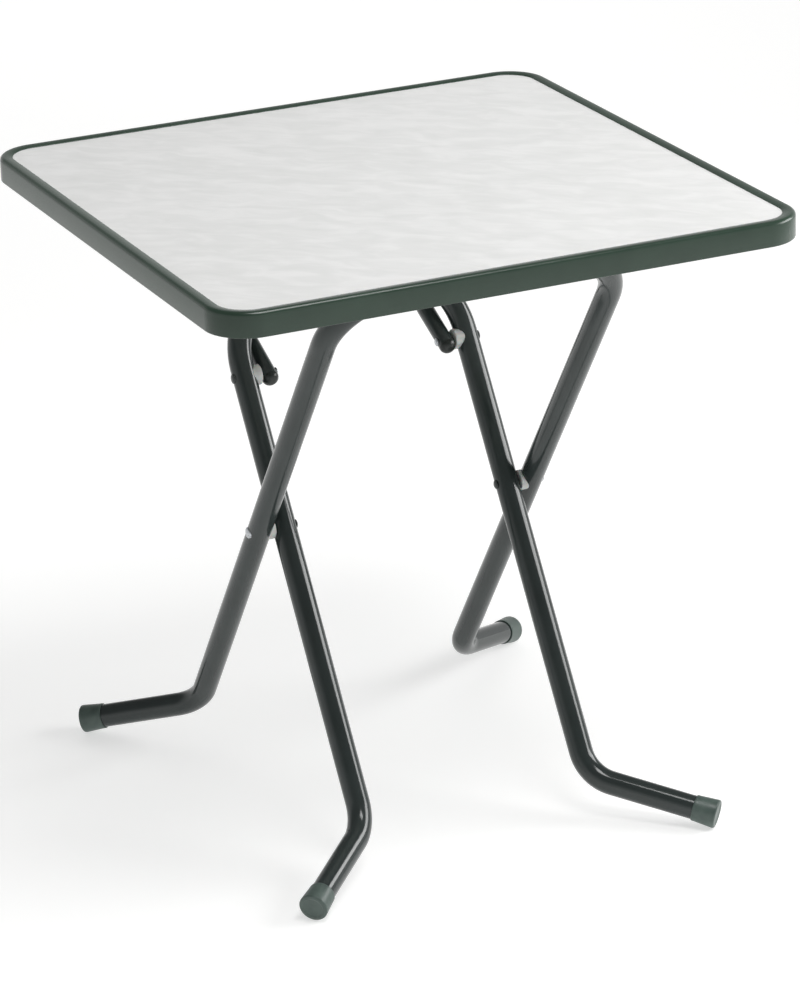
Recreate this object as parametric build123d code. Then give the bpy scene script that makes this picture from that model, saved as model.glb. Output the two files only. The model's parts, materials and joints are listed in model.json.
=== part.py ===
from build123d import *
import math
import os

# Folding card table: a square laminate top on two crossed frames of bent steel tube.
# x runs along the front edge, y towards the back edge and z up. The origin is on the
# floor, under the middle of the top. All lengths are millimetres, all angles degrees.

# Top
table_height = 732.0
top_side = 700.0
top_corner_radius = 50.0
laminate_thickness = 0.8
board_thickness = 16.0
backing_thickness = 0.6

# Edge moulding round the top
moulding_height = 28.5
moulding_wall = 3.5
moulding_lip_width = 15.0
moulding_lip_rise = 2.0
moulding_flange_width = 9.0
moulding_flange_thickness = 2.2
moulding_outer_round = 4.5
moulding_lip_round = 1.6
moulding_foot_round = 1.2

# Bent tubes
leg_tube_diameter = 28.0
leg_tube_wall = 1.2
stay_tube_diameter = 20.0
stay_tube_wall = 1.2

# Crossed frames. The scissor pivot stands over the origin.
scissor_height = 344.0
front_crossbar_inset = 100.9
inner_frame_half_width = 142.5
scissor_gap = 3.0
crossbar_drop = 20.0
outer_corner_radius = 80.0
inner_corner_radius = 100.0
inner_crossbar_reach = 110.0

# Splayed feet, one set of values for each frame
foot_bend_radius = 54.0
outer_foot_length = 154.0
outer_foot_slope = 13.4
outer_foot_heading = 38.9
inner_foot_length = 158.0
inner_foot_slope = 11.0
inner_foot_heading = 43.6

# Foot caps, wider at the closed end
cap_mouth_diameter = 30.2
cap_end_diameter = 34.0
cap_length = 28.0
cap_end_thickness = 4.0
cap_end_round = 2.5
cap_mouth_round = 0.4

# Stay bow that locks the inner frame under the back of the top
rear_crossbar_inset = 132.0
stay_gap = 5.0
stay_crossbar_drop = 37.6
stay_overcentre_angle = 0.7
stay_end_overhang = 8.0
stay_arm_drop = 31.0
stay_crank_reach = 76.0
stay_crank_radius = 50.0
stay_corner_radius = 45.0
stay_plug_depth = 16.0
stay_plug_flat = 2.0

# Rivets and the nylon spacers on them
scissor_rivet_diameter = 8.0
stay_rivet_diameter = 7.0
rivet_head_overlap = 2.6
rivet_head_height = 2.0
rivet_dome_share = 0.8
spacer_diameter = 24.0

# Clips that carry the two crossbars, and their screws
front_clip_x = 74.0
front_clip_width = 34.0
rear_clip_x = 42.0
rear_clip_width = 26.0
clip_wall = 5.0
clip_flange_thickness = 4.0
clip_flange_reach = 15.0
clip_edge_round = 1.5
front_lip_depth = 5.0
mouth_forward_angle = 31.0
rear_mouth_share = 0.72
screw_diameter = 3.8
screw_head_diameter = 7.6
screw_head_height = 2.4
screw_slot_width = 1.0
screw_slot_depth = 1.1
screw_length = 15.0

# Clearances
glue_gap = 0.05
running_clearance = 0.08
free_clearance = 0.3
cut_overrun = 1.0

# Levels and pivots that follow from the sizes above
leg_radius = leg_tube_diameter / 2
stay_radius = stay_tube_diameter / 2
cap_end_radius = cap_end_diameter / 2
cap_mouth_radius = cap_mouth_diameter / 2
laminate_level = table_height - laminate_thickness
board_level = laminate_level - board_thickness
underside = board_level - backing_thickness
moulding_top = table_height + moulding_lip_rise
outer_frame_half_width = inner_frame_half_width + leg_tube_diameter + scissor_gap
stay_half_width = inner_frame_half_width - leg_radius - stay_gap - stay_radius

# A point in the side view is a (y, z) pair.
scissor_pivot = (0, scissor_height)
front_crossbar = (front_crossbar_inset - top_side / 2, underside - crossbar_drop)
rear_crossbar = (top_side / 2 - rear_crossbar_inset, underside - stay_crossbar_drop)


def towards(point, angle, length):
    """The (y, z) point that lies a length away at an angle above the y axis."""
    turn = math.radians(angle)
    return (point[0] + length * math.cos(turn), point[1] + length * math.sin(turn))


def along_to_height(point, angle, height):
    """The (y, z) point where the line through a point reaches a height."""
    return towards(point, angle, (height - point[1]) / math.sin(math.radians(angle)))


def distance(first, second):
    """Distance between two (y, z) points."""
    return math.hypot(second[0] - first[0], second[1] - first[1])


def slope(first, second):
    """Angle above the y axis of the way from one (y, z) point to another."""
    return math.degrees(math.atan2(second[1] - first[1], second[0] - first[0]))


def locked_linkage():
    """How far up the inner legs the stay pivot sits, and the angle of the inner legs.

    The links lie in one line when the table is folded. When it is open, the stay stands
    a little over centre.
    """
    bend = math.radians(stay_overcentre_angle)
    span = distance(scissor_pivot, rear_crossbar)
    excess = distance(front_crossbar, rear_crossbar) - distance(front_crossbar, scissor_pivot)
    square = (excess / 2) ** 2 + (span ** 2 - excess ** 2) / (2 + 2 * math.cos(bend))
    reach = math.sqrt(square) - excess / 2
    lean = math.asin((reach + excess) * math.sin(bend) / span)
    return reach, slope(scissor_pivot, rear_crossbar) - math.degrees(lean)


outer_leg_angle = slope(front_crossbar, scissor_pivot)
stay_pivot_reach, inner_leg_angle = locked_linkage()
stay_pivot = towards(scissor_pivot, inner_leg_angle, stay_pivot_reach)
inner_crossbar = towards(stay_pivot, inner_leg_angle, inner_crossbar_reach)


def at(x, point):
    """A point in space from its x and its (y, z) pair."""
    return Vector(x, point[0], point[1])


def tube(path, radius, wall):
    """A hollow round tube along a path."""
    ring = Circle(radius) - Circle(radius - wall)
    return sweep(Plane(origin=path @ 0, z_dir=path % 0) * ring, path=path)


def cross_pin(point, radius, start, end):
    """A round pin along x, from one x to another, through a (y, z) point."""
    seat = Plane(origin=at(start, point), z_dir=Vector(math.copysign(1, end - start), 0, 0))
    return seat * extrude(Circle(radius), amount=abs(end - start))


def through_hole(point, diameter):
    """A hole along x, right across the table, through a (y, z) point."""
    reach = outer_frame_half_width + leg_tube_diameter
    return cross_pin(point, diameter / 2 + running_clearance, -reach, reach)


# Feet


def foot_tip_height(foot_slope):
    """Height of the middle of a cap's end face when the cap rests on the floor."""
    tilt = math.radians(foot_slope)
    taper = math.atan2(cap_end_radius - cap_mouth_radius, cap_length)
    shoulder = cap_end_radius - cap_end_round * (math.tan(taper) + 1 / math.cos(taper))
    return cap_end_round + shoulder * math.cos(tilt) - cap_end_round * math.sin(tilt)


def foot_bend(leg_angle, foot_slope, length):
    """The (y, z) point where a leg's line meets its foot's line."""
    height = foot_tip_height(foot_slope) + length * math.sin(math.radians(foot_slope))
    return along_to_height(scissor_pivot, leg_angle, height)


def foot_direction(side, back, foot_slope, heading):
    """Unit vector from a bend to a foot's tip: outwards, forwards or back, and down."""
    tilt = math.radians(foot_slope)
    turn = math.radians(heading)
    level = math.cos(tilt)
    return Vector(side * level * math.cos(turn), back * level * math.sin(turn), -math.sin(tilt))


outer_bend = foot_bend(outer_leg_angle, outer_foot_slope, outer_foot_length)
inner_bend = foot_bend(180 + inner_leg_angle, inner_foot_slope, inner_foot_length)


def foot_tip(side, frame):
    """The middle of a cap's end face, and the way that the foot points."""
    if frame == "outer":
        bend = at(side * outer_frame_half_width, outer_bend)
        way = foot_direction(side, 1, outer_foot_slope, outer_foot_heading)
        return bend + way * outer_foot_length, way
    bend = at(side * inner_frame_half_width, inner_bend)
    way = foot_direction(side, -1, inner_foot_slope, inner_foot_heading)
    return bend + way * inner_foot_length, way


def foot_cap(side, frame):
    """Moulded cap pushed over the end of a foot, a little wider at its closed end."""
    tip, way = foot_tip(side, frame)
    body = Pos(0, 0, cap_length / 2) * Cone(cap_end_radius, cap_mouth_radius, cap_length)
    body = fillet(body.edges().sort_by(Axis.Z)[0], cap_end_round)
    body = fillet(body.edges().sort_by(Axis.Z)[-1], cap_mouth_round)
    bore = Pos(0, 0, cap_end_thickness) * extrude(Circle(leg_radius + glue_gap), amount=cap_length)
    return Plane(origin=tip, z_dir=-way) * (body - bore)


# Frames


def frame_sizes(frame):
    """Half width, foot bend, crossbar and corner radius of one crossed frame."""
    if frame == "outer":
        return outer_frame_half_width, outer_bend, front_crossbar, outer_corner_radius
    return inner_frame_half_width, inner_bend, inner_crossbar, inner_corner_radius


def frame_path(frame):
    """Centre line of one crossed frame, from the left foot over the crossbar to the right foot."""
    half_width, bend, crossbar, corner = frame_sizes(frame)
    halves = []
    for side in (-1, 1):
        tip, way = foot_tip(side, frame)
        end = tip - way * cap_end_thickness
        halves.append([end, at(side * half_width, bend), at(side * half_width, crossbar)])
    points = halves[0] + halves[1][::-1]
    radii = [foot_bend_radius, corner, corner, foot_bend_radius]
    return FilletPolyline(*points, radius=radii)


def leg_bar(side, frame):
    """Solid bar along one leg and its top corner, thicker than the tube by the glue gap."""
    half_width, bend, crossbar, corner = frame_sizes(frame)
    low = at(side * half_width, bend)
    high = at(side * half_width, crossbar)
    path = FilletPolyline(low, high, at(0, crossbar), radius=corner)
    way = path % 0
    seat = Plane(origin=path @ 0, x_dir=way.cross(Vector(1, 0, 0)), z_dir=way)
    return sweep(seat * Circle(leg_radius + glue_gap), path=path)


def outer_frame_tube():
    """Frame whose crossbar turns under the front of the top and whose feet stand at the back."""
    frame = tube(frame_path("outer"), leg_radius, leg_tube_wall)
    return frame - through_hole(scissor_pivot, scissor_rivet_diameter)


def inner_frame_tube():
    """Frame whose crossbar stops below the top and whose feet stand at the front."""
    frame = tube(frame_path("inner"), leg_radius, leg_tube_wall)
    frame -= through_hole(scissor_pivot, scissor_rivet_diameter)
    return frame - through_hole(stay_pivot, stay_rivet_diameter)


# Stay bow


stay_arm_angle = inner_leg_angle - stay_arm_drop
stay_crank = towards(stay_pivot, stay_arm_angle, stay_crank_reach)
stay_end = towards(stay_pivot, stay_arm_angle, -stay_end_overhang)


def stay_path():
    """Centre line of the stay bow, from its left end over the rear crossbar to its right end."""
    places = (stay_end, stay_crank, rear_crossbar)
    left = [at(-stay_half_width, place) for place in places]
    right = [at(stay_half_width, place) for place in places[::-1]]
    radii = [stay_crank_radius, stay_corner_radius, stay_corner_radius, stay_crank_radius]
    return FilletPolyline(*left, *right, radius=radii)


def stay_bow_tube():
    """Cranked bow of thinner tube, riveted inside the inner frame and turning in the rear clips."""
    bow = tube(stay_path(), stay_radius, stay_tube_wall)
    return bow - through_hole(stay_pivot, stay_rivet_diameter)


def stay_end_plug(side):
    """Round-nosed plug that closes the low end of a stay arm, drilled for the rivet."""
    way = at(0, stay_end) - at(0, stay_pivot)
    seat = Plane(origin=at(side * stay_half_width, stay_end), z_dir=way)
    nose = extrude(Circle(stay_radius), amount=stay_radius - stay_plug_flat)
    nose = fillet(nose.edges().sort_by(Axis.Z)[-1], stay_radius - stay_plug_flat - glue_gap)
    stem = extrude(Circle(stay_radius - stay_tube_wall - glue_gap), amount=-stay_plug_depth)
    return seat * (nose + stem) - through_hole(stay_pivot, stay_rivet_diameter)


# Rivets and spacers


def rivet_head(point, x, way, radius):
    """Low domed head whose flat side is at x and whose dome faces along way."""
    head = cross_pin(point, radius, x, x + way * rivet_head_height)
    dome_edge = head.edges().sort_by(Axis.X)[-1 if way > 0 else 0]
    return fillet(dome_edge, rivet_head_height * rivet_dome_share)


def rivet(side, point, diameter, leg, outer_x, inner_x):
    """Rivet along x: its outer head is shaped to the tube it sits on, its inner head stays flat."""
    radius = diameter / 2
    head_radius = radius + rivet_head_overlap
    outer_head = rivet_head(point, side * outer_x, side, head_radius)
    skirt = cross_pin(point, head_radius, side * (outer_x - leg_radius / 2), side * outer_x)
    inner_head = rivet_head(point, side * inner_x, -side, head_radius)
    shank = cross_pin(point, radius, side * inner_x, side * outer_x)
    return outer_head + (skirt - leg) + inner_head + shank


def scissor_rivet(side, leg):
    """Rivet through both frames where they cross."""
    outer_x = outer_frame_half_width + leg_radius
    inner_x = inner_frame_half_width - leg_radius - free_clearance
    return rivet(side, scissor_pivot, scissor_rivet_diameter, leg, outer_x, inner_x)


def stay_rivet(side, leg):
    """Rivet through an inner leg and the stay arm beside it."""
    outer_x = inner_frame_half_width + leg_radius
    inner_x = stay_half_width - stay_radius - free_clearance
    return rivet(side, stay_pivot, stay_rivet_diameter, leg, outer_x, inner_x)


def spacer(side, point, diameter, leg, flat_x, saddle_x):
    """Nylon ring between two tubes: flat towards one, shaped to the other."""
    body = cross_pin(point, spacer_diameter / 2, side * flat_x, side * saddle_x)
    start = side * (flat_x - cut_overrun)
    end = side * (saddle_x + cut_overrun)
    return body - leg - cross_pin(point, diameter / 2 + glue_gap, start, end)


def scissor_spacer(side, leg):
    """Spacer between the crossed legs, seated on the outer one."""
    flat_x = inner_frame_half_width + leg_radius + free_clearance
    saddle_x = outer_frame_half_width - leg_radius / 2
    return spacer(side, scissor_pivot, scissor_rivet_diameter, leg, flat_x, saddle_x)


def stay_spacer(side, leg):
    """Spacer between an inner leg and a stay arm, seated on the leg."""
    flat_x = stay_half_width + stay_radius + free_clearance
    saddle_x = inner_frame_half_width - leg_radius / 2
    return spacer(side, stay_pivot, stay_rivet_diameter, leg, flat_x, saddle_x)


# Clips and screws


def clip_screw_places(side, clip_x, crossbar, seat_radius):
    """The two screw places of a clip, in front of and behind its crossbar."""
    reach = seat_radius + clip_wall + clip_flange_reach / 2
    return [(side * clip_x, crossbar[0] + way * reach) for way in (-1, 1)]


def clip_flange(side, clip_x, width, crossbar, seat_radius):
    """Plate of a clip that lies against the underside, with its screw holes."""
    length = 2 * (seat_radius + clip_wall + clip_flange_reach)
    plate = extrude(RectangleRounded(width, length, clip_flange_reach / 3), amount=clip_flange_thickness)
    plate = Pos(side * clip_x, crossbar[0], underside - clip_flange_thickness) * plate
    for x, y in clip_screw_places(side, clip_x, crossbar, seat_radius):
        depth = clip_flange_thickness + 2 * cut_overrun
        hole = extrude(Circle(screw_diameter / 2 + free_clearance), amount=depth)
        plate -= Pos(x, y, underside + cut_overrun - depth) * hole
    return plate


def front_clip(side):
    """Open saddle under the front of the top that the outer frame's crossbar turns in."""
    seat_radius = leg_radius + free_clearance
    outer_radius = seat_radius + clip_wall
    y, z = front_crossbar
    height = underside - z + front_lip_depth
    block = extrude(Rectangle(front_clip_width, 2 * outer_radius), amount=height)
    block = fillet(block.edges().filter_by(Axis.Z), clip_edge_round)
    block = Pos(side * front_clip_x, y, z - front_lip_depth) * block
    start = side * front_clip_x - front_clip_width
    end = side * front_clip_x + front_clip_width
    block -= cross_pin(front_crossbar, seat_radius, start, end)
    for turn in (0, mouth_forward_angle):
        mouth = Pos(0, 0, -outer_radius) * Box(2 * front_clip_width, 2 * seat_radius, 2 * outer_radius)
        block -= Pos(side * front_clip_x, y, z) * Rot(-turn, 0, 0) * mouth
    return block + clip_flange(side, front_clip_x, front_clip_width, front_crossbar, seat_radius)


def rear_clip(side):
    """Snap clip under the back of the top that the stay bow's crossbar turns in."""
    seat_radius = stay_radius + running_clearance
    outer_radius = seat_radius + clip_wall
    y, z = rear_crossbar
    start = side * rear_clip_x - rear_clip_width / 2
    end = side * rear_clip_x + rear_clip_width / 2
    neck = extrude(Rectangle(rear_clip_width, 2 * outer_radius), amount=underside - z)
    clip = cross_pin(rear_crossbar, outer_radius, start, end) + Pos(side * rear_clip_x, y, z) * neck
    clip -= cross_pin(rear_crossbar, seat_radius, start - cut_overrun, end + cut_overrun)
    mouth_width = 2 * seat_radius * rear_mouth_share
    mouth = Pos(0, 0, -outer_radius) * Box(2 * rear_clip_width, mouth_width, 2 * outer_radius)
    clip -= Pos(side * rear_clip_x, y, z) * mouth
    return clip + clip_flange(side, rear_clip_x, rear_clip_width, rear_crossbar, seat_radius)


def screw(x, y):
    """Pan-head screw driven up through a clip's flange into the board."""
    shank = extrude(Circle(screw_diameter / 2), amount=screw_length)
    head = extrude(Circle(screw_head_diameter / 2), amount=screw_head_height)
    head = fillet(head.edges().sort_by(Axis.Z)[0], screw_head_height / 2)
    slot_length = screw_head_diameter - screw_head_height
    for size in ((slot_length, screw_slot_width), (screw_slot_width, slot_length)):
        head -= extrude(Rectangle(*size), amount=screw_slot_depth)
    under_flange = underside - clip_flange_thickness
    return Pos(x, y, under_flange) * shank + Pos(x, y, under_flange - screw_head_height) * head


def screw_places(which):
    """Places of the four screws of the front or of the rear pair of clips."""
    places = []
    for side in (-1, 1):
        if which == "front":
            places += clip_screw_places(side, front_clip_x, front_crossbar, leg_radius + free_clearance)
        else:
            places += clip_screw_places(side, rear_clip_x, rear_crossbar, stay_radius + running_clearance)
    return places


def clip_screws(which):
    """The four screws of a pair of clips."""
    return Compound(children=[screw(x, y) for x, y in screw_places(which)])


# Top


def top_sheet(low, high, inset):
    """A layer of the top between two levels, with its edge an inset inside the top's edge."""
    side = top_side - 2 * inset
    outline = RectangleRounded(side, side, top_corner_radius - inset)
    return Pos(0, 0, low) * extrude(outline, amount=high - low)


def pilot_holes():
    """Holes that the clips' screws stand in."""
    depth = screw_length - clip_flange_thickness
    hole = extrude(Circle(screw_diameter / 2 + glue_gap), amount=depth + cut_overrun)
    holes = []
    for which in ("front", "rear"):
        for x, y in screw_places(which):
            holes.append(Pos(x, y, underside - cut_overrun) * hole)
    return Part() + holes


def edge_moulding():
    """Moulded edge that wraps the board: lip round the laminate, wall outside, flange underneath."""
    lip_side = top_side - 2 * moulding_lip_width
    groove_side = top_side - 2 * moulding_wall
    flange_side = groove_side - 2 * moulding_flange_width
    foot = moulding_top - moulding_height

    def block(side, low, high):
        inset = (top_side - side) / 2
        outline = RectangleRounded(side, side, top_corner_radius - inset)
        return Pos(0, 0, low) * extrude(outline, amount=high - low)

    ring = block(top_side, foot, moulding_top)
    ring = fillet(ring.edges().group_by(Axis.Z)[-1], moulding_outer_round)
    ring = fillet(ring.edges().group_by(Axis.Z)[0], moulding_foot_round)
    ring -= block(lip_side, laminate_level, moulding_top + cut_overrun)
    lip_edge = ring.faces().sort_by(Axis.Z)[-1].inner_wires()[0].edges()
    ring = fillet(lip_edge, moulding_lip_round)
    ring -= block(groove_side, underside, laminate_level)
    ring -= block(flange_side, foot - cut_overrun, underside)
    return ring - block(groove_side, foot - cut_overrun, underside - moulding_flange_thickness)


def save(name, shape):
    """Writes one node."""
    export_step(shape, os.path.join("parts", name + ".step"))
    print(name, round(shape.volume))


def main():
    os.makedirs("parts", exist_ok=True)
    holes = pilot_holes()
    laminate_inset = moulding_lip_width + glue_gap
    save("top_laminate", top_sheet(laminate_level, table_height, laminate_inset))
    save("top_board", top_sheet(board_level, laminate_level, moulding_wall) - holes)
    save("backing_sheet", top_sheet(underside, board_level, moulding_wall) - holes)
    save("edge_moulding", edge_moulding())

    save("outer_frame_tube", outer_frame_tube())
    save("inner_frame_tube", inner_frame_tube())
    save("stay_bow_tube", stay_bow_tube())

    for side, name in ((-1, "left"), (1, "right")):
        outer_leg = leg_bar(side, "outer")
        inner_leg = leg_bar(side, "inner")
        save("outer_foot_cap_" + name, foot_cap(side, "outer"))
        save("inner_foot_cap_" + name, foot_cap(side, "inner"))
        save("scissor_rivet_" + name, scissor_rivet(side, outer_leg))
        save("scissor_spacer_" + name, scissor_spacer(side, outer_leg))
        save("stay_rivet_" + name, stay_rivet(side, inner_leg))
        save("stay_spacer_" + name, stay_spacer(side, inner_leg))
        save("stay_end_plug_" + name, stay_end_plug(side))
        save("front_clip_" + name, front_clip(side))
        save("rear_clip_" + name, rear_clip(side))
    save("front_clip_screws", clip_screws("front"))
    save("rear_clip_screws", clip_screws("rear"))

    pivots = {
        "front crossbar": front_crossbar,
        "scissor pivot": scissor_pivot,
        "stay pivot": stay_pivot,
        "inner crossbar": inner_crossbar,
        "rear crossbar": rear_crossbar,
    }
    for name, point in pivots.items():
        print(name, round(point[0], 2), round(point[1], 2))
    print("stay arm angle", round(stay_arm_angle, 2))


main()
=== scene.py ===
import json
import math
import bmesh
import bpy
from mathutils import Matrix, Vector


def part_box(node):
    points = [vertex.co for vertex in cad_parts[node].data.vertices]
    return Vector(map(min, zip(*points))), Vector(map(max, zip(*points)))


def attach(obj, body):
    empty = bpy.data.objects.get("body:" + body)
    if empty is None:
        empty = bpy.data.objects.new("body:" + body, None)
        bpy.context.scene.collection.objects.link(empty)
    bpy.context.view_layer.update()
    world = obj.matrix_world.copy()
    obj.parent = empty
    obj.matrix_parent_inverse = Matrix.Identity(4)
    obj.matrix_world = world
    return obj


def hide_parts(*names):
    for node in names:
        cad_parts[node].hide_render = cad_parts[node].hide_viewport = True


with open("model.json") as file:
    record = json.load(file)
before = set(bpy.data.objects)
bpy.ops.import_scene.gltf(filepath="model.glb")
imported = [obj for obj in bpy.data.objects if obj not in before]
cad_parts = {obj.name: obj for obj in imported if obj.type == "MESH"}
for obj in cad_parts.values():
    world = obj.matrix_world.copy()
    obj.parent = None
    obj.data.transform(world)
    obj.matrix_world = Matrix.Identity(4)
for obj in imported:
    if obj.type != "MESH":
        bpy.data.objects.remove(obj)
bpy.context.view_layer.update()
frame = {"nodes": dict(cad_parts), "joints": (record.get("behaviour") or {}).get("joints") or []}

mm = 0.001  # sizes are written in millimetres, Blender works in metres
sides = (("left", -1), ("right", 1))
pivots = {joint["name"]: Vector(joint["pos_m"]) for joint in frame["joints"]}
stayPivot = pivots["inner_frame_fold"]  # stay arms on the inner legs
scissorPivot = pivots["outer_frame_fold"]  # where the legs cross


# Nodes and colours

def linearColour(hexText):
    channels = []
    for start in (0, 2, 4):
        value = int(hexText[start:start + 2], 16) / 255
        channels.append(value / 12.92 if value <= 0.04045 else ((value + 0.055) / 1.055) ** 2.4)
    return (*channels, 1.0)


def addNode(tree, kind, inputs=None, links=None, **settings):
    node = tree.nodes.new(kind)
    for name, value in settings.items():
        setattr(node, name, value)
    for name, value in (inputs or {}).items():
        node.inputs[name].default_value = value
    for name, source in (links or {}).items():
        tree.links.new(source, node.inputs[name])
    return node


def newMaterial(name):
    material = bpy.data.materials.new(name)
    material.use_nodes = True
    material.node_tree.nodes.clear()
    return material, material.node_tree


# Materials. A noise texture mostly gives values in this span, round its middle, so Map Range
# nodes stretch the span to the whole of a mix.
noiseSpan = {"From Min": 0.3, "From Max": 0.7}
noiseMiddle = (0.5, 0.5, 0.5)

# Melamine laminate, pressed on a satin plate: a pale grey printed marble under clear resin,
# with a broad soft sheen. The print is a web of short wavy streaks, very faint, across the top.
marbleLaminate = {
    "ground": "E9E9E8", "shade": "DCDDDB", "glow": "F0F0EF", "deepest": 0.6, "brightest": 0.6,
    "darkFrom": 0.48, "darkTo": 0.72, "lightFrom": 0.5, "lightTo": 0.32, "streakDetail": 4.0,
    "streakRoughness": 0.55, "streakDistortion": 0.5, "streakAngle": -40.0, "streakLength": 50.0,
    "streakWidth": 21.0, "waveSize": 70.0, "waveReach": 26.0, "ior": 1.5,
    "cloudSize": 130.0, "cloudShare": 0.4, "glossSize": 40.0, "roughness": (0.30, 0.36),
    "pearlSize": 1.6, "pearlHeight": 0.003,
}


def makeLaminate():
    p = marbleLaminate
    material, tree = newMaterial("marbleMelamineLaminate")
    place = addNode(tree, "ShaderNodeTexCoord").outputs["Object"]
    wave = addNode(tree, "ShaderNodeTexNoise", {"Scale": 1 / (p["waveSize"] * mm)}, {"Vector": place})
    centred = addNode(
        tree, "ShaderNodeVectorMath", {1: noiseMiddle}, {0: wave.outputs["Color"]}, operation="SUBTRACT"
    )
    moved = addNode(
        tree, "ShaderNodeVectorMath", {1: (p["waveReach"] * mm,) * 3}, {0: centred.outputs[0], 2: place},
        operation="MULTIPLY_ADD",
    )
    turned = addNode(
        tree, "ShaderNodeMapping", {"Rotation": (0, 0, math.radians(-p["streakAngle"]))},
        {"Vector": moved.outputs[0]},
    )
    along, across = 1 / (p["streakLength"] * mm), 1 / (p["streakWidth"] * mm)
    stretched = addNode(
        tree, "ShaderNodeMapping", {"Scale": (along, across, along)}, {"Vector": turned.outputs[0]}
    )
    streak = addNode(
        tree, "ShaderNodeTexNoise",
        {
            "Scale": 1.0, "Detail": p["streakDetail"], "Roughness": p["streakRoughness"],
            "Distortion": p["streakDistortion"],
        },
        {"Vector": stretched.outputs[0]},
    )
    cloud = addNode(tree, "ShaderNodeTexNoise", {"Scale": 1 / (p["cloudSize"] * mm)}, {"Vector": place})
    cloudy = addNode(
        tree, "ShaderNodeMapRange", {**noiseSpan, "To Max": p["cloudShare"]}, {"Value": cloud.outputs["Fac"]}
    )
    dark = addNode(
        tree, "ShaderNodeMapRange",
        {"From Min": p["darkFrom"], "From Max": p["darkTo"], "To Max": p["deepest"]},
        {"Value": streak.outputs["Fac"]},
    )
    light = addNode(
        tree, "ShaderNodeMapRange",
        {"From Min": p["lightTo"], "From Max": p["lightFrom"], "To Min": p["brightest"], "To Max": 0.0},
        {"Value": streak.outputs["Fac"]},
    )
    ground, shade, glow = (linearColour(p[tone]) for tone in ("ground", "shade", "glow"))
    clouded = addNode(
        tree, "ShaderNodeMix", {6: ground, 7: shade}, {0: cloudy.outputs["Result"]}, data_type="RGBA"
    )
    veined = addNode(
        tree, "ShaderNodeMix", {7: shade}, {0: dark.outputs["Result"], 6: clouded.outputs[2]},
        data_type="RGBA",
    )
    colour = addNode(
        tree, "ShaderNodeMix", {7: glow}, {0: light.outputs["Result"], 6: veined.outputs[2]}, data_type="RGBA"
    )
    gloss = addNode(tree, "ShaderNodeTexNoise", {"Scale": 1 / (p["glossSize"] * mm)}, {"Vector": place})
    roughness = addNode(
        tree, "ShaderNodeMapRange", {**noiseSpan, "To Min": p["roughness"][0], "To Max": p["roughness"][1]},
        {"Value": gloss.outputs["Fac"]},
    )
    pearl = addNode(tree, "ShaderNodeTexNoise", {"Scale": 1 / (p["pearlSize"] * mm)}, {"Vector": place})
    bump = addNode(
        tree, "ShaderNodeBump", {"Distance": p["pearlHeight"] * mm}, {"Height": pearl.outputs["Fac"]}
    )
    shader = addNode(
        tree, "ShaderNodeBsdfPrincipled", {"IOR": p["ior"]},
        {
            "Base Color": colour.outputs[2], "Roughness": roughness.outputs["Result"],
            "Normal": bump.outputs["Normal"],
        },
    )
    addNode(tree, "ShaderNodeOutputMaterial", links={"Surface": shader.outputs["BSDF"]})
    return material


# Polypropylene edge, injection moulded in dark green: satin skin, faint cloudy flow marks.
edgePlastic = {
    "name": "greenPolypropyleneEdge", "dark": "293B30", "light": "304337", "mottleSize": 70.0,
    "roughness": (0.22, 0.27), "grainSize": 0.9, "grainHeight": 0.003,
    "ior": 1.49, "milky": 0.0, "depth": 0.0,
}
# Soft polyethylene caps: a duller green, with a moulded grain, scuffed grey where they stand.
capPlastic = {
    "name": "greenPolyethyleneCap", "dark": "42504B", "light": "505F59", "mottleSize": 14.0,
    "roughness": (0.34, 0.46), "grainSize": 0.9, "grainHeight": 0.010, "ior": 1.5, "milky": 0.0, "depth": 0.0,
    "scuff": "7B807A", "scuffFoot": 0.5, "scuffHeight": 5.0, "scuffSize": 3.5, "scuffDetail": 5.0,
    "scuffShare": 0.7, "scuffFrom": 0.42, "scuffTo": 0.62,
}
# Natural nylon washers, turned: milky light grey, waxy.
nylonPlastic = {
    "name": "naturalNylon", "dark": "BCBEBC", "light": "CCCECB", "mottleSize": 8.0,
    "roughness": (0.38, 0.48), "grainSize": 0.7, "grainHeight": 0.006,
    "ior": 1.53, "milky": 0.25, "depth": 1.5,
}
# Black-green acetal clips and plugs: hard, slightly waxy.
clipPlastic = {
    "name": "blackAcetal", "dark": "141A17", "light": "1D2421", "mottleSize": 10.0,
    "roughness": (0.26, 0.36), "grainSize": 0.8, "grainHeight": 0.006,
    "ior": 1.48, "milky": 0.0, "depth": 0.0,
}
# Melamine balancing paper under the board: plain warm grey, with short pressed fibres.
backingPaper = {
    "name": "melamineBackingPaper", "dark": "8D908C", "light": "A5A7A2", "mottleSize": 5.0,
    "roughness": (0.5, 0.62), "grainSize": 0.9, "grainHeight": 0.015, "ior": 1.5, "milky": 0.0, "depth": 0.0,
}


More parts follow.
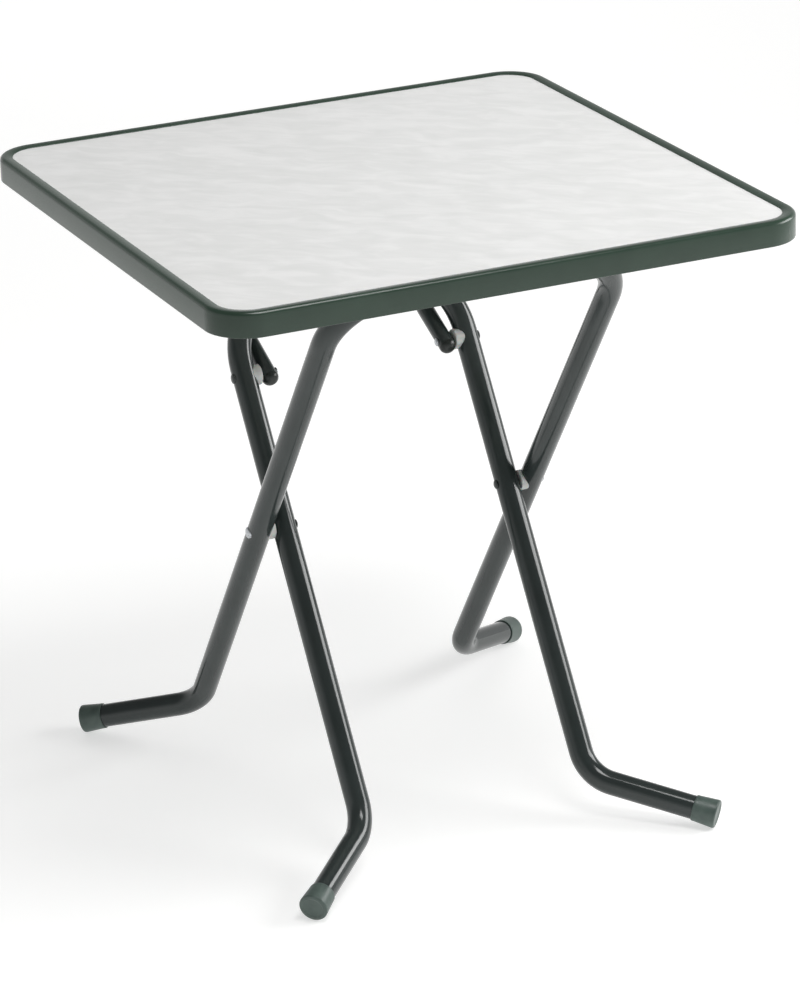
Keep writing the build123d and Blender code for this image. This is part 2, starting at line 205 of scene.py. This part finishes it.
def makePlastic(p):
    material, tree = newMaterial(p["name"])
    place = addNode(tree, "ShaderNodeTexCoord").outputs["Object"]
    mottle = addNode(tree, "ShaderNodeTexNoise", {"Scale": 1 / (p["mottleSize"] * mm)}, {"Vector": place})
    spread = addNode(tree, "ShaderNodeMapRange", noiseSpan, {"Value": mottle.outputs["Fac"]})
    body = addNode(
        tree, "ShaderNodeMix", {6: linearColour(p["dark"]), 7: linearColour(p["light"])},
        {0: spread.outputs["Result"]}, data_type="RGBA",
    )
    colour = body.outputs[2]
    if "scuff" in p:
        height = addNode(tree, "ShaderNodeSeparateXYZ", links={"Vector": place})
        low = addNode(
            tree, "ShaderNodeMapRange",
            {
                "From Min": p["scuffFoot"] * mm, "From Max": p["scuffHeight"] * mm,
                "To Min": p["scuffShare"], "To Max": 0.0,
            },
            {"Value": height.outputs["Z"]},
        )
        patches = addNode(
            tree, "ShaderNodeTexNoise", {"Scale": 1 / (p["scuffSize"] * mm), "Detail": p["scuffDetail"]},
            {"Vector": place},
        )
        torn = addNode(
            tree, "ShaderNodeMapRange", {"From Min": p["scuffFrom"], "From Max": p["scuffTo"]},
            {"Value": patches.outputs["Fac"]},
        )
        worn = addNode(
            tree, "ShaderNodeMath", links={0: low.outputs["Result"], 1: torn.outputs["Result"]},
            operation="MULTIPLY",
        )
        scuffed = addNode(
            tree, "ShaderNodeMix", {7: linearColour(p["scuff"])}, {0: worn.outputs[0], 6: colour},
            data_type="RGBA",
        )
        colour = scuffed.outputs[2]
    roughness = addNode(
        tree, "ShaderNodeMapRange", {**noiseSpan, "To Min": p["roughness"][0], "To Max": p["roughness"][1]},
        {"Value": mottle.outputs["Fac"]},
    )
    grain = addNode(tree, "ShaderNodeTexNoise", {"Scale": 1 / (p["grainSize"] * mm)}, {"Vector": place})
    bump = addNode(
        tree, "ShaderNodeBump", {"Distance": p["grainHeight"] * mm}, {"Height": grain.outputs["Fac"]}
    )
    shader = addNode(
        tree, "ShaderNodeBsdfPrincipled",
        {"IOR": p["ior"], "Subsurface Weight": p["milky"], "Subsurface Scale": p["depth"] * mm},
        {"Base Color": colour, "Roughness": roughness.outputs["Result"], "Normal": bump.outputs["Normal"]},
    )
    addNode(tree, "ShaderNodeOutputMaterial", links={"Surface": shader.outputs["BSDF"]})
    return material


# Gloss epoxy lacquer baked on steel tube: nearly black green, sharp highlights that waver a
# little over the orange peel of the sprayed coat.
frameLacquer = {
    "name": "glossEpoxyLacquer", "dark": "2A3130", "light": "313837", "mottleSize": 60.0,
    "roughness": (0.12, 0.17), "peelSize": 2.6, "peelDetail": 1.0, "peelHeight": 0.004,
    "ior": 1.5,
}


def makeLacquer():
    p = frameLacquer
    material, tree = newMaterial(p["name"])
    place = addNode(tree, "ShaderNodeTexCoord").outputs["Object"]
    mottle = addNode(tree, "ShaderNodeTexNoise", {"Scale": 1 / (p["mottleSize"] * mm)}, {"Vector": place})
    spread = addNode(tree, "ShaderNodeMapRange", noiseSpan, {"Value": mottle.outputs["Fac"]})
    colour = addNode(
        tree, "ShaderNodeMix", {6: linearColour(p["dark"]), 7: linearColour(p["light"])},
        {0: spread.outputs["Result"]}, data_type="RGBA",
    )
    roughness = addNode(
        tree, "ShaderNodeMapRange", {**noiseSpan, "To Min": p["roughness"][0], "To Max": p["roughness"][1]},
        {"Value": mottle.outputs["Fac"]},
    )
    peel = addNode(
        tree, "ShaderNodeTexNoise", {"Scale": 1 / (p["peelSize"] * mm), "Detail": p["peelDetail"]},
        {"Vector": place},
    )
    bump = addNode(
        tree, "ShaderNodeBump", {"Distance": p["peelHeight"] * mm}, {"Height": peel.outputs["Fac"]}
    )
    shader = addNode(
        tree, "ShaderNodeBsdfPrincipled", {"IOR": p["ior"]},
        {
            "Base Color": colour.outputs[2], "Roughness": roughness.outputs["Result"],
            "Normal": bump.outputs["Normal"],
        },
    )
    addNode(tree, "ShaderNodeOutputMaterial", links={"Surface": shader.outputs["BSDF"]})
    return material


# Steel, zinc plated: cold bright metal, faintly cloudy, with fine drawn scratches.
zincSteel = {
    "bright": "C9CCCF", "dull": "A3A7AB", "cloudSize": 3.0, "roughness": (0.2, 0.34),
    "scratchSize": 0.4, "scratchHeight": 0.004,
}


def makeZinc():
    p = zincSteel
    material, tree = newMaterial("zincPlatedSteel")
    place = addNode(tree, "ShaderNodeTexCoord").outputs["Object"]
    cloud = addNode(tree, "ShaderNodeTexNoise", {"Scale": 1 / (p["cloudSize"] * mm)}, {"Vector": place})
    spread = addNode(tree, "ShaderNodeMapRange", noiseSpan, {"Value": cloud.outputs["Fac"]})
    colour = addNode(
        tree, "ShaderNodeMix", {6: linearColour(p["dull"]), 7: linearColour(p["bright"])},
        {0: spread.outputs["Result"]}, data_type="RGBA",
    )
    roughness = addNode(
        tree, "ShaderNodeMapRange", {**noiseSpan, "To Min": p["roughness"][0], "To Max": p["roughness"][1]},
        {"Value": cloud.outputs["Fac"]},
    )
    scratch = addNode(tree, "ShaderNodeTexNoise", {"Scale": 1 / (p["scratchSize"] * mm)}, {"Vector": place})
    bump = addNode(
        tree, "ShaderNodeBump", {"Distance": p["scratchHeight"] * mm}, {"Height": scratch.outputs["Fac"]}
    )
    shader = addNode(
        tree, "ShaderNodeBsdfPrincipled", {"Metallic": 1.0},
        {
            "Base Color": colour.outputs[2], "Roughness": roughness.outputs["Result"],
            "Normal": bump.outputs["Normal"],
        },
    )
    addNode(tree, "ShaderNodeOutputMaterial", links={"Surface": shader.outputs["BSDF"]})
    return material


# Particle board: pressed wood chips and glue, pale brown, each chip its own tone.
chipBoard = {"dark": "8B6F4C", "light": "C0A277", "chipSize": 3.5, "chipHeight": 0.05, "roughness": 0.8}


def makeBoard():
    p = chipBoard
    material, tree = newMaterial("pressedChipBoard")
    place = addNode(tree, "ShaderNodeTexCoord").outputs["Object"]
    chips = addNode(tree, "ShaderNodeTexVoronoi", {"Scale": 1 / (p["chipSize"] * mm)}, {"Vector": place})
    tone = addNode(tree, "ShaderNodeSeparateColor", links={"Color": chips.outputs["Color"]})
    colour = addNode(
        tree, "ShaderNodeMix", {6: linearColour(p["dark"]), 7: linearColour(p["light"])},
        {0: tone.outputs["Red"]}, data_type="RGBA",
    )
    bump = addNode(
        tree, "ShaderNodeBump", {"Distance": p["chipHeight"] * mm}, {"Height": chips.outputs["Distance"]}
    )
    shader = addNode(
        tree, "ShaderNodeBsdfPrincipled", {"Roughness": p["roughness"]},
        {"Base Color": colour.outputs[2], "Normal": bump.outputs["Normal"]},
    )
    addNode(tree, "ShaderNodeOutputMaterial", links={"Surface": shader.outputs["BSDF"]})
    return material


laminate = makeLaminate()
greenEdge = makePlastic(edgePlastic)
greenCap = makePlastic(capPlastic)
nylon = makePlastic(nylonPlastic)
acetal = makePlastic(clipPlastic)
backing = makePlastic(backingPaper)
lacquer = makeLacquer()
zinc = makeZinc()
board = makeBoard()
print("materials made:", len(bpy.data.materials))


# Bmesh helpers. A round is a radius in millimetres and its steps.

mesher = {"weld": 0.01, "sharpAngle": 35.0}
sharp = (0, 0)


def finishPiece(name, bm, material, body, nodes):
    bmesh.ops.remove_doubles(bm, verts=bm.verts[:], dist=mesher["weld"] * mm)
    bmesh.ops.recalc_face_normals(bm, faces=bm.faces[:])
    for face in bm.faces:
        face.smooth = True
    for edge in bm.edges:
        if edge.is_manifold:
            edge.smooth = edge.calc_face_angle() < math.radians(mesher["sharpAngle"])
    mesh = bpy.data.meshes.new(name)
    bm.to_mesh(mesh)
    bm.free()
    mesh.materials.append(material)
    piece = bpy.data.objects.new(name, mesh)
    bpy.context.collection.objects.link(piece)
    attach(piece, body)
    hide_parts(*nodes)
    return piece


def facing(way, place):
    # a transform that stands a shape made along Z on a place, pointing a way
    return Matrix.Translation(place) @ way.to_track_quat("Z", "Y").to_matrix().to_4x4()


def slide(bm, ring, move):
    grown = bmesh.ops.extrude_edge_only(bm, edges=ring)["geom"]
    bmesh.ops.translate(bm, verts=[v for v in grown if isinstance(v, bmesh.types.BMVert)], vec=move)
    return [edge for edge in grown if isinstance(edge, bmesh.types.BMEdge)]


def bend(bm, ring, centre, axis, angle, steps):
    spun = bmesh.ops.spin(
        bm, geom=ring, cent=centre, axis=axis, dvec=(0, 0, 0), angle=angle, steps=steps, use_duplicate=False
    )
    return [edge for edge in spun["geom_last"] if isinstance(edge, bmesh.types.BMEdge)]


def roundCorners(bm, corners, rounds):
    for corner, (radius, steps) in zip(corners, rounds):
        if radius:
            bmesh.ops.bevel(
                bm, geom=[corner], offset=radius * mm, offset_type="OFFSET", affect="VERTICES",
                segments=steps, profile=0.5, material=-1,
            )


def wireOutline(bm, points, rounds):
    # a closed outline with rounded corners, left as bare edges
    corners = [bm.verts.new(point) for point in points]
    bm.faces.new(corners)
    roundCorners(bm, corners, rounds)
    bmesh.ops.delete(bm, geom=bm.faces[:], context="FACES_ONLY")
    return bm.edges[:]


def turnedShape(points, rounds, segments):
    # a lathe shape: the outline runs from the axis out and back to it, and is spun round Z
    bm = bmesh.new()
    corners = [bm.verts.new((radius * mm, 0, height * mm)) for radius, height in points]
    for first, second in zip(corners, corners[1:]):
        bm.edges.new((first, second))
    roundCorners(bm, corners, rounds)
    bmesh.ops.spin(
        bm, geom=bm.verts[:] + bm.edges[:], cent=(0, 0, 0), axis=(0, 0, 1), dvec=(0, 0, 0),
        angle=math.tau, steps=segments, use_merge=True, use_duplicate=False,
    )
    bmesh.ops.remove_doubles(bm, verts=bm.verts[:], dist=mesher["weld"] * mm)
    return bm


# Edge moulding round the top. Its section is given as depth in from the outer face, and height.

moulding = {
    "top": 734.0, "foot": 705.5, "half": 350.0, "corner": 50.0, "lip": 15.0, "wall": 3.5,
    "lipFoot": 731.2, "underside": 714.6, "flange": 9.0, "flangeFoot": 712.4, "crown": 0.5, "fall": 1.3,
    "crownShare": 0.5, "outerRound": (4.5, 10), "crownRound": (2.8, 4), "innerRound": (0.9, 6),
    "footRound": (1.2, 3), "cornerSteps": 32,
}


def makeMoulding():
    p = moulding
    groove = p["wall"] + p["flange"]
    outline = [
        (0, p["foot"]), (0, p["top"] - p["crown"]), (p["lip"] * p["crownShare"], p["top"]),
        (p["lip"], p["top"] - p["fall"]), (p["lip"], p["lipFoot"]), (p["wall"], p["lipFoot"]),
        (p["wall"], p["underside"]), (groove, p["underside"]), (groove, p["flangeFoot"]),
        (p["wall"], p["flangeFoot"]), (p["wall"], p["foot"]),
    ]
    rounds = [p["footRound"], p["outerRound"], p["crownRound"], p["innerRound"], *[sharp] * 6, p["footRound"]]
    bm = bmesh.new()
    points = [(0, (depth - p["half"]) * mm, height * mm) for depth, height in outline]
    ring = wireOutline(bm, points, rounds)
    straight = (p["half"] - p["corner"]) * mm
    for quarter in range(4):
        turn = Matrix.Rotation(quarter * math.pi / 2, 3, "Z")
        ring = slide(bm, ring, turn @ Vector((straight, 0, 0)))
        centre = turn @ Vector((straight, -straight, 0))
        ring = bend(bm, ring, centre, (0, 0, 1), math.pi / 2, p["cornerSteps"])
        ring = slide(bm, ring, turn @ Vector((0, straight, 0)))
    return finishPiece("edgeMoulding", bm, greenEdge, "table_top", ["edge_moulding"])


makeMoulding()
print("edge moulding made")


# Bent tubes. Places are (y, z) in the side view, as in the model.

tubes = {"ringSegments": 48, "bendSteps": 20, "diameter": 28.0, "footBend": 54.0, "capWall": 4.0}
frames = {
    "outer": {
        "halfWidth": 173.5, "crossbar": (-249.1, 694.6), "bend": (207.79, 51.54), "corner": 80.0,
        "tip": (290.09, 301.86, 15.86), "way": (0.75706, 0.61087, -0.23175),
    },
    "inner": {
        "halfWidth": 142.5, "crossbar": (160.64, 585.84), "bend": (-197.79, 46.23), "corner": 100.0,
        "tip": (254.82, -304.75, 16.08), "way": (0.71087, -0.67695, -0.19081),
    },
}
stayBow = {
    "halfWidth": 113.5, "end": (92.55, 490.78), "crank": (168.43, 526.82), "crossbar": (218.0, 677.0),
    "crankBend": 50.0, "corner": 45.0, "diameter": 20.0,
}


def mirrorRoute(half):
    # half a route, from the right end to the middle, made whole from left to right
    right = [Vector(place) * mm for place in half]
    left = [Vector((-place.x, place.y, place.z)) for place in right]
    return left + right[::-1]


def bentTube(route, radii, diameter):
    bm = bmesh.new()
    way = (route[1] - route[0]).normalized()
    bmesh.ops.create_circle(
        bm, cap_ends=False, radius=diameter / 2 * mm, segments=tubes["ringSegments"],
        matrix=facing(way, route[0]),
    )
    ring = bm.edges[:]
    bmesh.ops.contextual_create(bm, geom=ring)
    place = route[0]
    for corner, after, radius in zip(route[1:-1], route[2:], radii):
        onward = (after - corner).normalized()
        angle = way.angle(onward)
        reach = radius * mm * math.tan(angle / 2)
        axis = way.cross(onward).normalized()
        ring = slide(bm, ring, corner - way * reach - place)
        centre = corner - way * reach + axis.cross(way) * radius * mm
        ring = bend(bm, ring, centre, axis, angle, tubes["bendSteps"])
        place = corner + onward * reach
        way = onward
    ring = slide(bm, ring, route[-1] - place)
    bmesh.ops.contextual_create(bm, geom=ring)
    return bm


def frameTube(name):
    p = frames[name]
    wide = p["halfWidth"]
    end = Vector(p["tip"]) - Vector(p["way"]) * tubes["capWall"]
    route = mirrorRoute([end, (wide, *p["bend"]), (wide, *p["crossbar"])])
    radii = (tubes["footBend"], p["corner"], p["corner"], tubes["footBend"])
    bm = bentTube(route, radii, tubes["diameter"])
    finishPiece(name + "FrameTube", bm, lacquer, name + "_frame", [name + "_frame_tube"])


def stayTube():
    p = stayBow
    wide = p["halfWidth"]
    route = mirrorRoute([(wide, *p["end"]), (wide, *p["crank"]), (wide, *p["crossbar"])])
    bm = bentTube(route, (p["crankBend"], p["corner"], p["corner"], p["crankBend"]), p["diameter"])
    finishPiece("stayBowTube", bm, lacquer, "stay_bow", ["stay_bow_tube"])


frameTube("outer")
frameTube("inner")
stayTube()
print("tubes bent")


# Foot caps, turned: a bead round the mouth and a shallow dish in the closed end

footCap = {
    "mouth": 30.2, "end": 34.0, "length": 28.0, "bore": 28.1, "beadHeight": 0.15, "beadWidth": 2.4,
    "dishDepth": 0.5, "dishShare": 0.72, "dishRound": (0.35, 2), "dishRim": (0.3, 2), "endRound": (2.5, 6),
    "beadFoot": (0.08, 2), "beadRound": (0.1, 2), "mouthRound": (0.4, 3), "boreRound": (0.2, 2),
    "segments": 64,
}


def makeCap(side, sign, name):
    p = footCap
    end, mouth, length = p["end"] / 2, p["mouth"] / 2, p["length"]
    lean = (end - mouth) / length
    beadStart = length - p["beadWidth"]
    atBead = mouth + lean * p["beadWidth"]
    dish = end * p["dishShare"]
    points = [
        (0, p["dishDepth"]), (dish - p["dishDepth"], p["dishDepth"]), (dish, 0), (end, 0),
        (atBead, beadStart - p["beadHeight"]), (atBead + p["beadHeight"], beadStart),
        (mouth + p["beadHeight"], length), (p["bore"] / 2, length), (p["bore"] / 2, tubes["capWall"]),
        (0, tubes["capWall"]),
    ]
    rounds = [
        sharp, p["dishRound"], p["dishRim"], p["endRound"], p["beadFoot"], p["beadRound"], p["mouthRound"],
        p["boreRound"], sharp, sharp,
    ]
    bm = turnedShape(points, rounds, p["segments"])
    way, tip = Vector(frames[name]["way"]), Vector(frames[name]["tip"]) * mm
    way.x *= sign
    tip.x *= sign
    bmesh.ops.transform(bm, matrix=facing(-way, tip), verts=bm.verts[:])
    node = name + "_foot_cap_" + side
    finishPiece(name + "FootCap" + side.title(), bm, greenCap, name + "_frame", [node])


for side, sign in sides:
    for name in frames:
        makeCap(side, sign, name)
print("caps made")


# Rivets, nylon washers and the plugs of the stay bow. Their ends lie where the model's do.

rivets = {
    "scissor": {"shank": 8.0, "body": "outer_frame", "place": scissorPivot, "lacquered": (0, 160)},
    "stay": {"shank": 7.0, "body": "inner_frame", "place": stayPivot, "lacquered": (140, 1000)},
}
rivetHead = {
    "overlap": 2.6, "closed": 1.4, "height": 2.0, "edge": 0.5, "skirt": 4.0, "domeShare": 0.55,
    "domeRound": (1.9, 5), "rimRound": (0.7, 3), "seatRound": (0.15, 2), "closedRim": (0.3, 2),
    "closedDome": (1.4, 5), "segments": 40,
}


def makeRivet(name, side, sign):
    p, h = rivets[name], rivetHead
    node = name + "_rivet_" + side
    low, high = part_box(node)
    ends = sorted(abs(value) / mm for value in (low.x, high.x))
    shank, head = p["shank"] / 2, p["shank"] / 2 + h["overlap"]
    closed = p["shank"] / 2 + h["closed"]  # the end that was pressed over is the smaller one
    inner, outer = ends[0] + h["height"], ends[1] - h["height"]
    points = [
        (0, ends[1]), (head * h["domeShare"], ends[1]), (head, outer + h["edge"]), (head, outer - h["skirt"]),
        (shank, outer - h["skirt"]), (shank, inner), (closed, inner), (closed, inner - h["edge"]),
        (closed * h["domeShare"], ends[0]), (0, ends[0]),
    ]
    rounds = [
        sharp, h["domeRound"], h["rimRound"], sharp, sharp, sharp, h["seatRound"], h["closedRim"],
        h["closedDome"], sharp,
    ]
    bm = turnedShape(points, rounds, h["segments"])
    for face in bm.faces:
        if p["lacquered"][0] * mm < face.calc_center_median().z < p["lacquered"][1] * mm:
            face.material_index = 1  # the end that went through the frame's paint bath
    place = Vector((0, p["place"].y, p["place"].z))
    bmesh.ops.transform(bm, matrix=facing(Vector((sign, 0, 0)), place), verts=bm.verts[:])
    piece = finishPiece(name + "Rivet" + side.title(), bm, zinc, p["body"], [node])
    piece.data.materials.append(lacquer)


washers = {
    "scissor": {"low": 156.8, "high": 166.5, "bore": 8.1, "body": "outer_frame", "place": scissorPivot},
    "stay": {"low": 123.8, "high": 135.5, "bore": 7.1, "body": "inner_frame", "place": stayPivot},
}
washer = {"diameter": 24.0, "boreRound": (0.2, 2), "rimRound": (1.0, 5), "segments": 56}


def makeWasher(name, side, sign):
    p = washers[name]
    rim, bore = washer["diameter"] / 2, p["bore"] / 2
    bm = bmesh.new()
    outline = [(bore, p["low"]), (rim, p["low"]), (rim, p["high"]), (bore, p["high"])]
    points = [(radius * mm, 0, height * mm) for radius, height in outline]
    wireOutline(bm, points, [washer["boreRound"], washer["rimRound"], sharp, sharp])
    bmesh.ops.spin(
        bm, geom=bm.verts[:] + bm.edges[:], cent=(0, 0, 0), axis=(0, 0, 1), dvec=(0, 0, 0), angle=math.tau,
        steps=washer["segments"], use_merge=True, use_duplicate=False,
    )
    place = Vector((0, p["place"].y, p["place"].z))
    bmesh.ops.transform(bm, matrix=facing(Vector((sign, 0, 0)), place), verts=bm.verts[:])
    finishPiece(
        name + "Washer" + side.title(), bm, nylon, p["body"], [name + "_spacer_" + side]
    )


stayPlug = {
    "flat": 2.0, "stem": 8.75, "depth": 16.0, "land": 0.1, "noseSteps": 12, "stemRound": (0.6, 2),
    "segments": 48,
}


def makePlug(side, sign):
    p = stayPlug
    radius = stayBow["diameter"] / 2
    nose = radius - p["flat"]
    stem, foot = p["stem"], -p["depth"]
    points = [(0, nose), (radius, nose), (radius, 0), (stem, 0), (stem, foot), (0, foot)]
    rounds = [sharp, (nose - p["land"], p["noseSteps"]), sharp, sharp, p["stemRound"], sharp]
    bm = turnedShape(points, rounds, p["segments"])
    end, crank = Vector(stayBow["end"]), Vector(stayBow["crank"])
    run = (end - crank).normalized()
    place = Vector((sign * stayBow["halfWidth"], end.x, end.y)) * mm
    bmesh.ops.transform(bm, matrix=facing(Vector((0, run.x, run.y)), place), verts=bm.verts[:])
    finishPiece("stayPlug" + side.title(), bm, acetal, "stay_bow", ["stay_end_plug_" + side])


for side, sign in sides:
    for name in rivets:
        makeRivet(name, side, sign)
        makeWasher(name, side, sign)
    makePlug(side, sign)
print("rivets, washers and plugs made")


# CAD nodes that keep their shape

keptNodes = {
    "top_laminate": laminate, "top_board": board, "backing_sheet": backing,
    "front_clip_left": acetal, "front_clip_right": acetal,
    "rear_clip_left": acetal, "rear_clip_right": acetal,
    "front_clip_screws": zinc, "rear_clip_screws": zinc,
}
for nodeName, material in keptNodes.items():
    node = frame["nodes"][nodeName]
    node.data.materials.clear()
    node.data.materials.append(material)
print("kept nodes dressed:", len(keptNodes))


# Studio: a sheet of opal acrylic, lit from below as for a catalogue picture, under soft boxes

opalFloor = {
    "size": 40.0, "cells": 8, "light": "D2D2D1", "dark": "CDCDCC", "cloudSize": 900.0, "roughness": 0.85,
    "glow": 0.55,
}
sky = {"horizon": 1.0, "zenith": 0.22, "horizonRise": 0.12, "zenithRise": 0.5}
lamps = {
    "overhead": {
        "place": (0.3, -0.9, 3.05), "aim": (0, 0, 0.5), "size": (1.25, 1.25), "glow": 8.5, "mirrored": True,
    },
    "right": {
        "place": (2.35, -0.75, 1.45), "aim": (0, 0, 0.45), "size": (1.8, 1.0), "glow": 7.5, "mirrored": True,
    },
    # the backdrop only whitens the floor behind the table, so it isn't mirrored in the top
    "backdrop": {
        "place": (1.8, 5.0, 3.2), "aim": (1.8, 5.01, 0), "size": (5.0, 4.5), "glow": 1.2, "mirrored": False,
    },
}


def makeFloor():
    p = opalFloor
    bm = bmesh.new()
    bmesh.ops.create_grid(bm, x_segments=p["cells"], y_segments=p["cells"], size=p["size"] / 2)
    mesh = bpy.data.meshes.new("studioFloor")
    bm.to_mesh(mesh)
    bm.free()
    floor = bpy.data.objects.new("studioFloor", mesh)
    bpy.context.collection.objects.link(floor)
    material, tree = newMaterial("opalAcrylicFloor")
    place = addNode(tree, "ShaderNodeTexCoord").outputs["Object"]
    cloud = addNode(tree, "ShaderNodeTexNoise", {"Scale": 1 / (p["cloudSize"] * mm)}, {"Vector": place})
    colour = addNode(
        tree, "ShaderNodeMix", {6: linearColour(p["dark"]), 7: linearColour(p["light"])},
        {0: cloud.outputs["Fac"]}, data_type="RGBA",
    )
    shader = addNode(
        tree, "ShaderNodeBsdfPrincipled", {"Roughness": p["roughness"], "Emission Strength": p["glow"]},
        {"Base Color": colour.outputs[2]},
    )
    addNode(tree, "ShaderNodeOutputMaterial", links={"Surface": shader.outputs["BSDF"]})
    mesh.materials.append(material)


def makeSky():
    world = bpy.data.worlds.new("studioSky")
    bpy.context.scene.world = world
    world.use_nodes = True
    tree = world.node_tree
    tree.nodes.clear()
    way = addNode(tree, "ShaderNodeTexCoord").outputs["Generated"]
    height = addNode(tree, "ShaderNodeSeparateXYZ", links={"Vector": way}).outputs["Z"]
    strength = addNode(
        tree, "ShaderNodeMapRange",
        {
            "From Min": sky["horizonRise"], "From Max": sky["zenithRise"],
            "To Min": sky["horizon"], "To Max": sky["zenith"],
        },
        {"Value": height},
    )
    glow = addNode(tree, "ShaderNodeBackground", links={"Strength": strength.outputs["Result"]})
    addNode(tree, "ShaderNodeOutputWorld", links={"Surface": glow.outputs["Background"]})


def makeLamps():
    for name, p in lamps.items():
        data = bpy.data.lights.new(name, "AREA")
        data.shape = "RECTANGLE"
        data.size, data.size_y = p["size"]
        data.energy = p["glow"] * math.pi * data.size * data.size_y  # glow is the radiance of the soft box
        lamp = bpy.data.objects.new(name, data)
        bpy.context.collection.objects.link(lamp)
        lamp.location = p["place"]
        lamp.rotation_euler = (Vector(p["aim"]) - Vector(p["place"])).to_track_quat("-Z", "Y").to_euler()
        lamp.visible_camera = False
        lamp.visible_glossy = p["mirrored"]


# The camera is the one that the photograph's edges fit: a long lens 5.3 m away.
camera = {
    "place": (-1.9921, -4.3918, 2.2144), "right": (0.90465, -0.42527, -0.02737),
    "up": (0.17668, 0.31585, 0.93222), "lens": 160.7, "sensor": 36.0, "shiftX": -0.009, "farthest": 100.0,
}


def makeCamera():
    data = bpy.data.cameras.new("photoCamera")
    data.lens = camera["lens"]
    data.sensor_width = camera["sensor"]
    data.shift_x = camera["shiftX"]
    data.clip_end = camera["farthest"]
    eye = bpy.data.objects.new("photoCamera", data)
    bpy.context.collection.objects.link(eye)
    right = Vector(camera["right"]).normalized()
    up = Vector(camera["up"]).normalized()
    turn = Matrix((right, up, right.cross(up))).transposed()
    eye.matrix_world = Matrix.Translation(camera["place"]) @ turn.to_4x4()
    bpy.context.scene.camera = eye


makeFloor()
makeSky()
makeLamps()
makeCamera()
bpy.context.scene.view_settings.view_transform = "Standard"
print("studio set")
